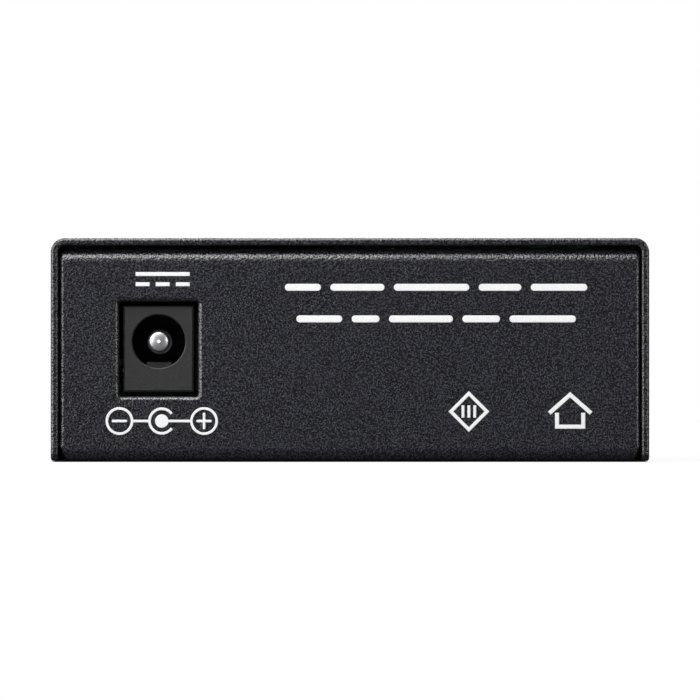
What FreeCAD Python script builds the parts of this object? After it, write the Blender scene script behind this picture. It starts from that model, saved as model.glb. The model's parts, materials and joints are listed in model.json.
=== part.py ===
import FreeCAD
import Part
import math
import os
from FreeCAD import Vector

# Fibre media converter: a folded steel case that holds one circuit board. The power end is at -Y
# and the port end at +Y. The origin is the middle of the case's underside, with +Z up. Millimetres.

# ---- case ----
case_length = 94.5
case_width = 73.0
case_height = 27.3
sheet = 0.9
bend_inside = 0.8
cover_side_gap = 0.2
cover_top_gap = 0.35
cover_foot_gap = 0.1
cover_foot_round = 1.0
cover_outer_round = 0.35
cover_inner_round = 0.25
panel_recess = 0.5
panel_lip = 6.0
panel_edge_round = 0.5
panel_taper_width = 0.9
panel_taper_height = 2.2
flange_relief = 0.5
flange_height = 5.5
flange_corner = 1.5
ear_height = 16.5
ear_width = 12.0

# ---- vents ----
vent_count = 11
vent_pitch = 4.0
vent_width = 1.8
vent_length = 11.0
vent_centre_z = 15.0

# ---- fasteners ----
thread_radius = 1.5
thread_gap = 0.03
cover_screw_inset = 13.25
cover_screw_z = 12.5
cover_screw_length = 5.0
countersink_radius = 2.4
screw_collar_radius = 2.3
screw_collar_length = 0.8
cover_recess_reach = 1.45
cover_recess_depth = 0.75
recess_width = 0.55
standoff_side_inset = 2.6
standoff_end_inset = 4.5
lamp_standoff_inset = 13.5
standoff_height = 6.0
standoff_radius = 2.7
standoff_spigot_radius = 2.1
standoff_sink = 0.1
standoff_floor = 0.8
press_gap = 0.02
board_screw_head_radius = 2.5
board_screw_top_radius = 2.0
board_screw_rim_height = 1.05
board_screw_head_height = 1.9
board_recess_reach = 1.35
board_recess_depth = 1.0
board_screw_length = 5.0
board_hole_gap = 0.15

# ---- circuit board ----
board_thickness = 1.6
board_side_gap = 1.0
board_end_gap = 0.35
board_corner = 1.5
lead_reach = 1.5
lead_hole_gap = 0.2

# ---- power jack ----
jack_side_distance = 13.15
jack_width = 8.6
jack_height = 10.55
jack_depth = 14.0
jack_inset = 0.8
jack_chamfer = 0.25
jack_opening_gap = 0.5
opening_round = 0.55
opening_corner = 0.3
jack_collar_depth = 3.6
jack_notch_margin = 0.8
jack_axis_height = 6.2
jack_bore_radius = 3.25
jack_bore_depth = 9.8
jack_bore_chamfer = 0.12
jack_front_wall = 1.0
jack_pin_radius = 1.25
jack_pin_inset = 0.9
jack_pin_dome_radius = 4.0
jack_pin_tip_round = 0.35
jack_pin_collar_radius = 1.5
jack_pin_collar_length = 0.6
jack_rivet_radius = 0.85
jack_rivet_gap = 0.03
leaf_width = 3.0
leaf_thickness = 0.3
leaf_slot_gap = 0.2
leaf_reach = 0.88
leaf_bend = 0.4
terminal_thickness = 0.4
terminal_width = 3.0
terminal_margin = 1.6
terminal_slot_gap = 0.05

# ---- copper network socket ----
socket_width = 16.0
socket_height = 13.4
socket_depth = 21.0
socket_proud = 0.2
socket_opening_gap = 0.25
shield_thickness = 0.25
shield_gap = 0.05
shield_tab_width = 1.6
plug_width = 11.8
plug_height = 6.7
plug_depth = 13.0
plug_roof = 1.9
peg_distance = 9.1
latch_width = 6.2
latch_height = 2.1
contact_count = 8
contact_pitch = 1.02
contact_width = 0.4
contact_thickness = 0.3
contact_groove_gap = 0.1
contact_drop = 2.2
contact_fold_inset = 2.85
contact_run = 7.15
contact_row_pitch = 2.54
contact_bend = 0.1
peg_radius = 1.55
peg_spacing = 11.43

# ---- optical transceiver ----
optic_side_distance = 5.8
optic_width = 25.4
optic_height = 10.1
optic_nose_depth = 13.6
optic_body_depth = 26.0
optic_opening_gap = 0.1
optic_foot = 0.3
port_pitch = 12.7
port_width = 9.0
port_height = 7.5
port_depth = 11.2
port_corner = 0.3
key_width = 2.4
key_height = 1.0
key_depth = 6.0
ferrule_radius = 1.25
ferrule_tube_radius = 2.4
ferrule_recess = 4.6
ferrule_bore_length = 7.2
ferrule_mouth = 0.3
latch_arm_offset = 3.2
latch_arm_thickness = 0.7
latch_arm_height = 3.6
latch_hook = 0.5
optic_pin_count = 9
optic_pin_pitch = 2.54
optic_pin_radius = 0.25
optic_stud_radius = 0.7
optic_stud_spacing = 20.32

# ---- indicator lamps ----
lamp_side_distance = 2.0
lamp_columns = 2
lamp_rows = 3
lamp_column_pitch = 4.6
lamp_row_pitch = 4.0
lamp_first_height = 2.9
lamp_radius = 1.5
lamp_length = 5.3
lamp_flange_radius = 1.9
lamp_flange_length = 1.0
lamp_hole_gap = 0.15
holder_wall = 2.1
holder_depth = 7.0
holder_panel_gap = 0.2
lamp_lead_side = 0.5
lamp_lead_pitch = 2.54
lamp_lead_row_step = 1.3

# ---- parts on the board; places are shares of the board's half width and half length ----
chip_share = (0.36, -0.18)
chip_side = 14.0
chip_height = 1.4
chip_chamfer = 0.35
chip_leads_per_side = 16
chip_lead_pitch = 0.8
chip_lead_width = 0.35
chip_lead_thickness = 0.15
chip_lead_shoulder = 0.4
chip_lead_heel = 0.6
chip_lead_run = 1.0
memory_share = (-0.18, -0.09)
memory_length = 4.9
memory_width = 3.9
memory_height = 1.5
memory_leads_per_side = 4
memory_lead_pitch = 1.27
transformer_share_y = 0.34
transformer_length = 12.7
transformer_width = 9.4
transformer_height = 6.0
transformer_chamfer = 0.5
transformer_lead_height = 1.5
transformer_leads_per_side = 8
transformer_lead_pitch = 1.27
chip_standoff = 0.1
crystal_share = (-0.18, -0.31)
crystal_length = 11.0
crystal_width = 4.6
crystal_height = 4.2
crystal_lead_spacing = 4.9
regulator_share = (-0.42, -0.48)
regulator_length = 6.5
regulator_width = 3.5
regulator_height = 1.7
regulator_leg_pitch = 2.2
regulator_leg_width = 0.7
coil_share = (-0.75, -0.46)
coil_flange_radius = 3.6
coil_core_radius = 1.9
coil_flange_height = 0.9
coil_height = 4.2
coil_wire_radius = 0.42
capacitor_radius = 3.15
capacitor_height = 11.0
capacitor_groove_depth = 0.25
capacitor_groove_half = 0.38
capacitor_groove_height = 1.35
capacitor_top_chamfer = 0.45
capacitor_share_y = -0.81
capacitor_first_share = -0.36
capacitor_pitch = 8.0
capacitor_count = 3
capacitor_lead_spacing = 2.5
capacitor_lead_radius = 0.25
fuse_share = (-0.43, -0.65)
fuse_length = 4.5
fuse_width = 3.2
fuse_height = 1.0
small_part_length = 2.0
small_part_width = 1.25
small_part_height = 0.55
small_part_pitch = 2.2
resistor_count = 8
small_capacitor_count = 8
small_part_row_gap = 2.5

# ---- worked out from the above ----
bend_outside = bend_inside + sheet
tray_half_width = case_width / 2 - sheet - cover_side_gap
tray_height = case_height - sheet - cover_top_gap
panel_y = case_length / 2 - panel_recess
panel_inner_y = panel_y - sheet
flange_inner_x = tray_half_width - sheet
board_bottom = sheet + standoff_height
board_top = board_bottom + board_thickness
board_half_width = flange_inner_x - board_side_gap
board_half_length = panel_inner_y - board_end_gap
lead_tip = board_bottom - lead_reach
cover_screw_y = case_length / 2 - cover_screw_inset
standoff_x = board_half_width - standoff_side_inset
standoff_y = board_half_length - standoff_end_inset
lamp_standoff_y = board_half_length - lamp_standoff_inset
jack_x = jack_side_distance - case_width / 2
jack_front_y = -panel_y + jack_inset
jack_back_y = jack_front_y + jack_depth
jack_floor_y = jack_front_y + jack_bore_depth
jack_axis_z = board_top + jack_axis_height
optic_x = optic_side_distance + optic_width / 2 - board_half_width
holder_width = (lamp_columns - 1) * lamp_column_pitch + 2 * holder_wall
lamp_x = board_half_width - lamp_side_distance - holder_width / 2
socket_x = (optic_x + optic_width / 2 + lamp_x - holder_width / 2) / 2
socket_front_y = panel_y + socket_proud
socket_back_y = socket_front_y - socket_depth
socket_top = board_top + socket_height
plug_top = socket_top - shield_thickness - plug_roof
plug_bottom = plug_top - plug_height
optic_front_y = case_length / 2
optic_joint_y = optic_front_y - optic_nose_depth
optic_back_y = optic_joint_y - optic_body_depth
optic_axis_z = board_top + optic_height / 2
port_floor_y = optic_front_y - port_depth
ferrule_front_y = optic_front_y - ferrule_recess
lamp_tip_y = case_length / 2
lamp_back_y = lamp_tip_y - lamp_length
holder_front_y = panel_inner_y - holder_panel_gap
holder_back_y = holder_front_y - holder_depth
chip_x = chip_share[0] * board_half_width
chip_y = chip_share[1] * board_half_length
memory_x = memory_share[0] * board_half_width
memory_y = memory_share[1] * board_half_length
transformer_y = transformer_share_y * board_half_length
crystal_x = crystal_share[0] * board_half_width
crystal_y = crystal_share[1] * board_half_length
regulator_x = regulator_share[0] * board_half_width
regulator_y = regulator_share[1] * board_half_length
coil_x = coil_share[0] * board_half_width
coil_y = coil_share[1] * board_half_length
capacitor_first_x = capacitor_first_share * board_half_width
capacitor_y = capacitor_share_y * board_half_length
fuse_x = fuse_share[0] * board_half_width
fuse_y = fuse_share[1] * board_half_length
small_part_row_distance = chip_side / 2 + chip_lead_run + small_part_row_gap


# ---------------------------------------------------------------- drawing helpers
def in_side_view(x):
    """Place (y, z) drawing points in the plane at x."""
    return lambda u, v: Vector(x, u, v)


def in_end_view(y):
    """Place (x, z) drawing points in the plane at y."""
    return lambda u, v: Vector(u, y, v)


def in_plan_view(z):
    """Place (x, y) drawing points in the plane at z."""
    return lambda u, v: Vector(u, v, z)


def heading(start, end):
    """Unit direction from one drawing point to another."""
    length = math.hypot(end[0] - start[0], end[1] - start[1])
    return ((end[0] - start[0]) / length, (end[1] - start[1]) / length)


def headings_at(points, index):
    """Directions into and out of one point of a path."""
    last = len(points) - 1
    into = heading(points[max(index - 1, 0)], points[max(index, 1)])
    out = heading(points[min(index, last - 1)], points[min(index + 1, last)])
    return into, out


def beside(points, offset):
    """The path moved to its left by the offset, with mitred corners."""
    moved = []
    for index, point in enumerate(points):
        into, out = headings_at(points, index)
        share = offset / (1 + into[0] * out[0] + into[1] * out[1])
        moved.append((point[0] - (into[1] + out[1]) * share, point[1] + (into[0] + out[0]) * share))
    return moved


def rounded_run(points, radii, place):
    """Edges along a path whose inner corners are rounded by the given radii."""
    edges = []
    start = points[0]
    for index in range(1, len(points) - 1):
        corner = points[index]
        into, out = headings_at(points, index)
        half_turn = math.acos(max(-1.0, min(1.0, into[0] * out[0] + into[1] * out[1]))) / 2
        setback = radii[index] * math.tan(half_turn)
        first = (corner[0] - into[0] * setback, corner[1] - into[1] * setback)
        last = (corner[0] + out[0] * setback, corner[1] + out[1] * setback)
        inward = heading((into[0], into[1]), (out[0], out[1]))
        depth = radii[index] / math.cos(half_turn) - radii[index]
        middle = (corner[0] + inward[0] * depth, corner[1] + inward[1] * depth)
        edges += straight(start, first, place)
        if setback > 0:
            edges.append(Part.Arc(place(*first), place(*middle), place(*last)).toShape())
        start = last
    return edges + straight(start, points[-1], place)


def straight(start, end, place):
    """One straight edge, or none where the two points meet."""
    if math.hypot(end[0] - start[0], end[1] - start[1]) < 1e-6:
        return []
    return [Part.LineSegment(place(*start), place(*end)).toShape()]


def bend_radii(points, inside, thickness, centre_on_left):
    """Radius of each corner on one side of a strip; a strip with no inside radius is creased."""
    radii = []
    for index in range(len(points)):
        into, out = headings_at(points, index)
        turns_left = into[0] * out[1] - into[1] * out[0] > 0
        radius = inside if turns_left == centre_on_left else inside + thickness
        radii.append(radius if inside > 0 else 0)
    return radii


def bent_strip(points, right, left, inside, place, sweep):
    """A strip of even thickness, from offset right to offset left of a path, bent at its corners."""
    left_radii = bend_radii(points, inside, left - right, True)
    right_radii = bend_radii(points, inside, left - right, False)
    left_points = beside(points, left)
    right_points = beside(points, right)
    edges = rounded_run(left_points, left_radii, place) + rounded_run(right_points, right_radii, place)
    edges += straight(left_points[0], right_points[0], place)
    edges += straight(left_points[-1], right_points[-1], place)
    return Part.Face(Part.Wire(Part.__sortEdges__(edges))).extrude(sweep)


def outline_prism(points, place, sweep):
    """A prism on a straight-sided outline."""
    corners = [place(*point) for point in points]
    return Part.Face(Part.makePolygon(corners + corners[:1])).extrude(sweep)


def rounded_prism(centre, width, height, radius, place, sweep):
    """A prism on a rectangle with rounded corners, or on an obround."""
    half_u = width / 2
    half_v = height / 2
    u, v = centre
    loop = [(u, v - half_v), (u + half_u, v - half_v), (u + half_u, v + half_v)]
    loop += [(u - half_u, v + half_v), (u - half_u, v - half_v), (u, v - half_v)]
    edges = rounded_run(loop, [radius] * len(loop), place)
    return Part.Face(Part.Wire(Part.__sortEdges__(edges))).extrude(sweep)


def block(x_range, y_range, z_range):
    """A plain box between two corners."""
    low = Vector(x_range[0], y_range[0], z_range[0])
    return Part.makeBox(x_range[1] - low.x, y_range[1] - low.y, z_range[1] - low.z, low)


def about(centre, size):
    """The range of the given size about a centre."""
    return (centre - size / 2, centre + size / 2)


def turned(profile, base, axis):
    """A solid turned from (radius, distance along the axis) points."""
    side = Vector(0, 0, 1) if abs(axis.z) < 0.5 else Vector(1, 0, 0)
    corners = [base + side * radius + axis * along for radius, along in profile]
    return Part.Face(Part.makePolygon(corners + corners[:1])).revolve(base, axis, 360)


def chamfer_where(shape, size, wanted):
    """Chamfer the edges that pass the test."""
    return shape.makeChamfer(size, [edge for edge in shape.Edges if wanted(edge.BoundBox)])


def fillet_where(shape, radius, wanted):
    """Round the edges that pass the test."""
    return shape.makeFillet(radius, [edge for edge in shape.Edges if wanted(edge.BoundBox)])


def near(value, target):
    """Whether two lengths are the same for picking edges."""
    return abs(value - target) < 1e-4


def save(name, pieces):
    """Write one sub-part, which is one solid or a group of like solids."""
    if isinstance(pieces, list):
        pieces = Part.makeCompound(pieces)
    pieces.exportStep(f"parts/{name}.step")


# ---------------------------------------------------------------- case
def end_panels():
    """Floor strip, both end panels and their lips, as one bent strip with tapered lower corners."""
    lip_y = panel_y - panel_lip
    path = [(-lip_y, tray_height), (-panel_y, tray_height), (-panel_y, 0)]
    path += [(panel_y, 0), (panel_y, tray_height), (lip_y, tray_height)]
    across = Vector(2 * tray_half_width, 0, 0)
    strip = bent_strip(path, 0, sheet, bend_inside, in_side_view(-tray_half_width), across)
    through = Vector(0, 2 * case_length, 0)
    cutters = []
    for side in (-1, 1):
        edge = side * tray_half_width
        taper = [(edge, panel_taper_height), (edge - side * panel_taper_width, 0)]
        taper += [(edge - side * panel_taper_width, -sheet), (edge + side * sheet, -sheet)]
        taper += [(edge + side * sheet, panel_taper_height)]
        cutters.append(outline_prism(taper, in_end_view(-case_length), through))
        floor_edge = sorted((side * (tray_half_width - bend_outside), side * case_width))
        floor_run = (-panel_y + bend_outside, panel_y - bend_outside)
        cutters.append(block(floor_edge, floor_run, (-sheet, bend_outside)))
    strip = strip.cut(cutters)

    def outer_side_edge(box):
        flat = box.YLength < 1e-4 and near(abs(box.YMin), panel_y)
        at_edge = min(abs(box.XMin), abs(box.XMax)) > tray_half_width - panel_taper_width - 1e-4
        return flat and at_edge and box.ZLength > sheet

    return fillet_where(strip, panel_edge_round, outer_side_edge)


def side_flanges():
    """Low side flanges of the tray, which rise in four ears for the cover's screws."""
    half_length = panel_y - bend_outside - flange_relief
    path = [(-tray_half_width, ear_height), (-tray_half_width, 0)]
    path += [(tray_half_width, 0), (tray_half_width, ear_height)]
    along = Vector(0, 2 * half_length, 0)
    flanges = bent_strip(path, 0, sheet, bend_inside, in_end_view(-half_length), along)
    across = Vector(2 * case_width, 0, 0)
    drop = 2 * (ear_height - flange_height)
    low_runs = [(0, 2 * cover_screw_y - ear_width)]
    for end in (-1, 1):
        ear_edge = cover_screw_y + ear_width / 2
        low_runs.append((end * (ear_edge + case_length / 2), case_length))
    cutters = []
    for centre, length in low_runs:
        middle = (centre, flange_height + drop / 2)
        cutters.append(rounded_prism(middle, length, drop, flange_corner, in_side_view(-case_width), across))
    return flanges.cut(cutters)


def jack_opening():
    """Cutter for the power jack's opening, with its rim left for rounding."""
    centre = (jack_x, board_top + jack_height / 2)
    width = jack_width + 2 * jack_opening_gap
    height = jack_height + 2 * jack_opening_gap
    place = in_end_view(-panel_y - sheet)
    return rounded_prism(centre, width, height, opening_corner, place, Vector(0, 3 * sheet, 0))


def port_openings():
    """Cutters for the network socket, the transceiver's nose and the lamps."""
    place = in_end_view(panel_y + sheet)
    inwards = Vector(0, -3 * sheet, 0)
    socket_centre = (socket_x, board_top + socket_height / 2)
    socket_size = (socket_width + 2 * socket_opening_gap, socket_height + 2 * socket_opening_gap)
    optic_size = (optic_width + 2 * optic_opening_gap, optic_height + 2 * optic_opening_gap)
    cutters = [rounded_prism(socket_centre, *socket_size, opening_corner, place, inwards)]
    cutters.append(rounded_prism((optic_x, optic_axis_z), *optic_size, opening_corner, place, inwards))
    for x, z in lamp_places():
        centre = Vector(x, panel_y + sheet, z)
        cutters.append(Part.makeCylinder(lamp_radius + lamp_hole_gap, 3 * sheet, centre, Vector(0, -1, 0)))
    return cutters


def standoff_places():
    """Plan positions of the four board fixings; the one by the lamps stands clear of their leads."""
    places = [(-standoff_x, -standoff_y), (standoff_x, -standoff_y), (-standoff_x, standoff_y)]
    return places + [(standoff_x, lamp_standoff_y)]


def cover_screw_places():
    """Side and (y, z) position of each screw that holds the cover."""
    return [(side, end * cover_screw_y, cover_screw_z) for side in (-1, 1) for end in (-1, 1)]


def make_base_tray():
    tray = end_panels().fuse(side_flanges())
    collars = []
    holes = []
    for side, y, z in cover_screw_places():
        inner = Vector(side * flange_inner_x, y, z)
        inward = Vector(-side, 0, 0)
        collars.append(Part.makeCylinder(screw_collar_radius, screw_collar_length, inner, inward))
        outer = Vector(side * case_width / 2, y, z)
        holes.append(Part.makeCylinder(thread_radius, 2 * cover_screw_length, outer, inward))
    for x, y in standoff_places():
        spigot_hole = standoff_spigot_radius + press_gap
        holes.append(Part.makeCylinder(spigot_hole, 3 * sheet, Vector(x, y, -sheet)))
    tray = tray.fuse(collars).removeSplitter()
    tray = tray.cut(holes + port_openings() + [jack_opening()])

    def jack_rim(box):
        about_jack = abs((box.XMin + box.XMax) / 2 - jack_x) < jack_width
        on_panel = near(box.YMin, -panel_y) and near(box.YMax, -panel_y)
        return about_jack and on_panel and box.ZMin > bend_outside

    return fillet_where(tray, opening_round, jack_rim)


def make_cover():
    half_width = case_width / 2
    half_length = case_length / 2
    path = [(-half_width, cover_foot_gap), (-half_width, case_height)]
    path += [(half_width, case_height), (half_width, cover_foot_gap)]
    along = Vector(0, case_length, 0)
    cover = bent_strip(path, -sheet, 0, bend_inside, in_end_view(-half_length), along)

    def foot_corner(box):
        return near(box.XLength, sheet) and near(box.ZMax, cover_foot_gap) and box.YLength < 1e-4

    def around_sheet(box):
        in_end_plane = box.YLength < 1e-4 and near(abs(box.YMin), half_length)
        across_sheet = near(box.XLength, sheet) and box.ZLength < 1e-4
        along_foot = box.YLength > 1e-4 and box.ZMax < cover_foot_gap + cover_foot_round + 1e-4
        return in_end_plane and not across_sheet or along_foot

    def on_outside(box):
        return near(max(abs(box.XMin), abs(box.XMax)), half_width) or near(box.ZMax, case_height)

    def outer_edge(box):
        return around_sheet(box) and on_outside(box)

    def inner_edge(box):
        return around_sheet(box) and not on_outside(box)

    cover = fillet_where(cover, cover_foot_round, foot_corner)
    cover = fillet_where(cover, cover_outer_round, outer_edge)
    cover = fillet_where(cover, cover_inner_round, inner_edge)
    across = Vector(2 * case_width, 0, 0)
    cutters = []
    for index in range(vent_count):
        y = (index - (vent_count - 1) / 2) * vent_pitch
        centre = (y, vent_centre_z)
        place = in_side_view(-case_width)
        cutters.append(rounded_prism(centre, vent_width, vent_length, vent_width / 2, place, across))
    for side, y, z in cover_screw_places():
        outer = Vector(side * half_width, y, z)
        inward = Vector(-side, 0, 0)
        cone_depth = countersink_radius - thread_radius
        cutters.append(Part.makeCone(countersink_radius + thread_gap, thread_radius + thread_gap,
                                     cone_depth, outer, inward))
        cutters.append(Part.makeCylinder(thread_radius + thread_gap, 2 * sheet, outer, inward))
    return cover.cut(cutters)


def cross_recess(top, inward, reach, depth):
    """Cutter for a cross-shaped driver recess in a screw's head."""
    arms = []
    for turn in (45, 135):
        arm = block(about(0, 2 * reach), about(0, recess_width), (-depth, depth))
        arm.rotate(Vector(0, 0, 0), Vector(0, 0, 1), turn)
        arms.append(arm)
    cross = arms[0].fuse(arms[1])
    cross.Placement = FreeCAD.Placement(top, FreeCAD.Rotation(Vector(0, 0, -1), inward))
    return cross


def make_cover_screws():
    shank = thread_radius - thread_gap
    head_depth = countersink_radius - shank
    screws = []
    for side, y, z in cover_screw_places():
        outer = Vector(side * case_width / 2, y, z)
        inward = Vector(-side, 0, 0)
        profile = [(0, 0), (countersink_radius - thread_gap, 0), (shank, head_depth)]
        profile += [(shank, cover_screw_length), (0, cover_screw_length)]
        screw = turned(profile, outer, inward)
        screws.append(screw.cut(cross_recess(outer, inward, cover_recess_reach, cover_recess_depth)))
    return screws


def make_board_standoffs():
    """Blind threaded standoffs, pressed into the tray's floor."""
    standoffs = []
    for x, y in standoff_places():
        profile = [(0, standoff_sink), (standoff_spigot_radius, standoff_sink)]
        profile += [(standoff_spigot_radius, sheet), (standoff_radius, sheet)]
        profile += [(standoff_radius, board_bottom), (thread_radius, board_bottom)]
        profile += [(thread_radius, sheet + standoff_floor), (0, sheet + standoff_floor)]
        standoffs.append(turned(profile, Vector(x, y, 0), Vector(0, 0, 1)))
    return standoffs


def make_board_screws():
    shank = thread_radius - thread_gap
    head = board_screw_head_radius
    rim = board_screw_rim_height
    screws = []
    for x, y in standoff_places():
        profile = [(0, -board_screw_length), (shank, -board_screw_length), (shank, 0), (head, 0)]
        profile += [(head, rim), (board_screw_top_radius, board_screw_head_height)]
        profile.append((0, board_screw_head_height))
        screw = turned(profile, Vector(x, y, board_top), Vector(0, 0, 1))
        top = Vector(x, y, board_top + board_screw_head_height)
        screws.append(screw.cut(cross_recess(top, Vector(0, 0, -1), board_recess_reach, board_recess_depth)))
    return screws


# ---------------------------------------------------------------- circuit board
def round_lead_holes():
    """Plan position and radius of every round hole for a lead, pin or peg."""
    holes = [(x, y, thread_radius + board_hole_gap) for x, y in standoff_places()]
    holes += [(x, y, peg_radius + lead_hole_gap / 2) for x, y in peg_places()]
    contact_hole = math.hypot(contact_width, contact_thickness) / 2 + lead_hole_gap / 2
    holes += [(x, y, contact_hole) for x, y in contact_tail_places()]
    holes += [(x, y, optic_pin_radius + lead_hole_gap / 2) for x, y in optic_pin_places()]
    holes += [(x, y, optic_stud_radius + lead_hole_gap / 2) for x, y in optic_stud_places()]
    lamp_hole = math.hypot(lamp_lead_side, lamp_lead_side) / 2 + lead_hole_gap / 2
    holes += [(x, y, lamp_hole) for x, y, z in lamp_lead_places()]
    holes += [(x, y, capacitor_lead_radius + lead_hole_gap / 2) for x, y in capacitor_lead_places()]
    holes += [(x, y, capacitor_lead_radius + lead_hole_gap / 2) for x, y in crystal_lead_places()]
    return holes


def slot_holes():
    """Plan ranges of every rectangular hole for a flat terminal."""
    gap = lead_hole_gap
    leaf = about(jack_x, leaf_width + gap), about(leaf_tail_y(), leaf_thickness + gap)
    rear_y = jack_back_y + terminal_thickness / 2
    rear = about(jack_x, terminal_width + gap), about(rear_y, terminal_thickness + gap)
    side_x, side_y = side_terminal_place()
    side = about(side_x, terminal_thickness + gap), about(side_y, terminal_width + gap)
    tabs = []
    for x, y in shield_tab_places():
        tabs.append((about(x, shield_thickness + gap), about(y, shield_tab_width + gap)))
    return [leaf, rear, side] + tabs


def jack_notch():
    """Plan range of the notch in the board's edge, which the jack's collar overhangs."""
    width = jack_width + 2 * (jack_opening_gap + jack_notch_margin)
    return about(jack_x, width), (-case_length, jack_front_y + jack_collar_depth)


def make_circuit_board():
    size = (2 * board_half_width, 2 * board_half_length)
    upward = Vector(0, 0, board_thickness)
    board = rounded_prism((0, 0), *size, board_corner, in_plan_view(board_bottom), upward)
    below = board_bottom - board_thickness
    height = 3 * board_thickness
    cutters = [Part.makeCylinder(radius, height, Vector(x, y, below)) for x, y, radius in round_lead_holes()]
    plan_cuts = slot_holes() + [jack_notch()]
    cutters += [block(x_range, y_range, (below, below + height)) for x_range, y_range in plan_cuts]
    return board.cut(cutters)


# ---------------------------------------------------------------- power jack
def leaf_tail_y():
    """Where the leaf contact's tail goes through the board."""
    return jack_floor_y + terminal_margin / 2


def side_terminal_place():
    """Plan position of the switch contact, set flush in the housing's side behind the collar."""
    x = jack_x - (jack_width - terminal_thickness) / 2
    return x, jack_front_y + jack_collar_depth + terminal_margin + terminal_width / 2


def make_jack_housing():
    across = about(jack_x, jack_width)
    collar = block(across, (jack_front_y, jack_front_y + jack_collar_depth),
                   (board_top, board_top + jack_height))
    collar = chamfer_where(collar, jack_chamfer,
                           lambda box: near(box.YMin, jack_front_y) and near(box.YMax, jack_front_y))
    axis_end = Vector(jack_x, jack_front_y + jack_collar_depth / 2, jack_axis_z)
    barrel_length = jack_depth - jack_collar_depth / 2
    barrel = Part.makeCylinder(jack_width / 2, barrel_length, axis_end, Vector(0, 1, 0))
    foot = block(across, (axis_end.y, jack_back_y), (board_top, jack_axis_z))
    housing = collar.fuse([barrel, foot]).removeSplitter()
    mouth = Vector(jack_x, jack_front_y, jack_axis_z)
    inward = Vector(0, 1, 0)
    bore = Part.makeCylinder(jack_bore_radius, jack_bore_depth, mouth, inward)
    lead_in = Part.makeCone(jack_bore_radius + jack_bore_chamfer, jack_bore_radius,
                            jack_bore_chamfer, mouth, inward)
    rivet_hole = Part.makeCylinder(jack_rivet_radius + jack_rivet_gap, jack_depth + sheet, mouth, inward)
    slot = about(jack_x, leaf_width + 2 * leaf_slot_gap)
    under_bore = block(slot, (jack_front_y + jack_front_wall, jack_floor_y), (0, jack_axis_z))
    tail_room = block(slot, (jack_front_y + jack_front_wall, jack_floor_y + terminal_margin),
                      (0, board_top + terminal_margin))
    side_x, side_y = side_terminal_place()
    side_slot = block((side_x - terminal_thickness, side_x + terminal_thickness / 2 + terminal_slot_gap),
                      about(side_y, terminal_width + 2 * terminal_slot_gap),
                      (0, jack_axis_z + terminal_slot_gap))
    return housing.cut([bore, lead_in, rivet_hole, under_bore, tail_room, side_slot])


def make_jack_centre_pin():
    """Pin with a low domed tip, a collar on the bore's floor and a rivet through the back wall."""
    radius = jack_pin_radius
    dome_radius = jack_pin_dome_radius
    length = jack_bore_depth - jack_pin_inset
    dome = Part.makeSphere(dome_radius, Vector(0, 0, dome_radius))
    tip = Part.makeCylinder(radius, dome_radius).common(dome)
    tip = fillet_where(tip, jack_pin_tip_round,
                       lambda box: box.ZLength < 1e-4 and box.ZMax < dome_radius / 2)
    shaft = Part.makeCylinder(radius, length - dome_radius, Vector(0, 0, dome_radius))
    collar = Part.makeCylinder(jack_pin_collar_radius, jack_pin_collar_length,
                               Vector(0, 0, length - jack_pin_collar_length))
    rivet_length = jack_depth - jack_bore_depth + 2 * terminal_thickness
    rivet = Part.makeCylinder(jack_rivet_radius, rivet_length, Vector(0, 0, length))
    pin = tip.fuse([shaft, collar, rivet]).removeSplitter()
    place = Vector(jack_x, jack_front_y + jack_pin_inset, jack_axis_z)
    pin.Placement = FreeCAD.Placement(place, FreeCAD.Rotation(Vector(0, 0, 1), Vector(0, 1, 0)))
    return pin


def make_jack_leaf_contact():
    """Spring leaf under the bore, which bears on the plug's outer sleeve."""
    crest = jack_axis_z - jack_bore_radius + leaf_reach
    seat = board_top + leaf_thickness
    tail_y = leaf_tail_y()
    front_y = jack_front_y + jack_front_wall + leaf_slot_gap
    path = [(tail_y, lead_tip), (tail_y, seat + leaf_bend), (tail_y - 4 * leaf_bend, seat + leaf_bend)]
    path += [(front_y + 3 * leaf_thickness, crest), (front_y + leaf_thickness / 2, crest - 2 * leaf_reach)]
    place = in_side_view(jack_x - leaf_width / 2)
    half = leaf_thickness / 2
    return bent_strip(path, -half, half, leaf_bend / 2, place, Vector(leaf_width, 0, 0))


def make_jack_side_contact():
    """Switch contact: a flat blade in the housing's side."""
    x, y = side_terminal_place()
    return block(about(x, terminal_thickness), about(y, terminal_width), (lead_tip, jack_axis_z))


def make_jack_rear_terminal():
    """Terminal plate that the centre pin is riveted to."""
    y_range = (jack_back_y, jack_back_y + terminal_thickness)
    plate = block(about(jack_x, terminal_width), y_range, (lead_tip, jack_axis_z + terminal_margin))
    hole = Part.makeCylinder(jack_rivet_radius + jack_rivet_gap, jack_depth,
                             Vector(jack_x, jack_floor_y, jack_axis_z), Vector(0, 1, 0))
    return plate.cut(hole)


# ---------------------------------------------------------------- copper network socket
def peg_places():
    """Plan positions of the socket's two plastic pegs."""
    y = socket_front_y - peg_distance
    return [(socket_x + side * peg_spacing / 2, y) for side in (-1, 1)]


def contact_x(index):
    return socket_x + (index - (contact_count - 1) / 2) * contact_pitch


def contact_tail_y(index):
    """The contacts' tails go through the board in two rows."""
    return socket_back_y + contact_row_pitch * (1 + index % 2)


def contact_tail_places():
    return [(contact_x(index), contact_tail_y(index)) for index in range(contact_count)]


def shield_tab_places():
    y = socket_back_y + socket_depth / 2
    return [(socket_x + side * (socket_width - shield_thickness) / 2, y) for side in (-1, 1)]


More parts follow.
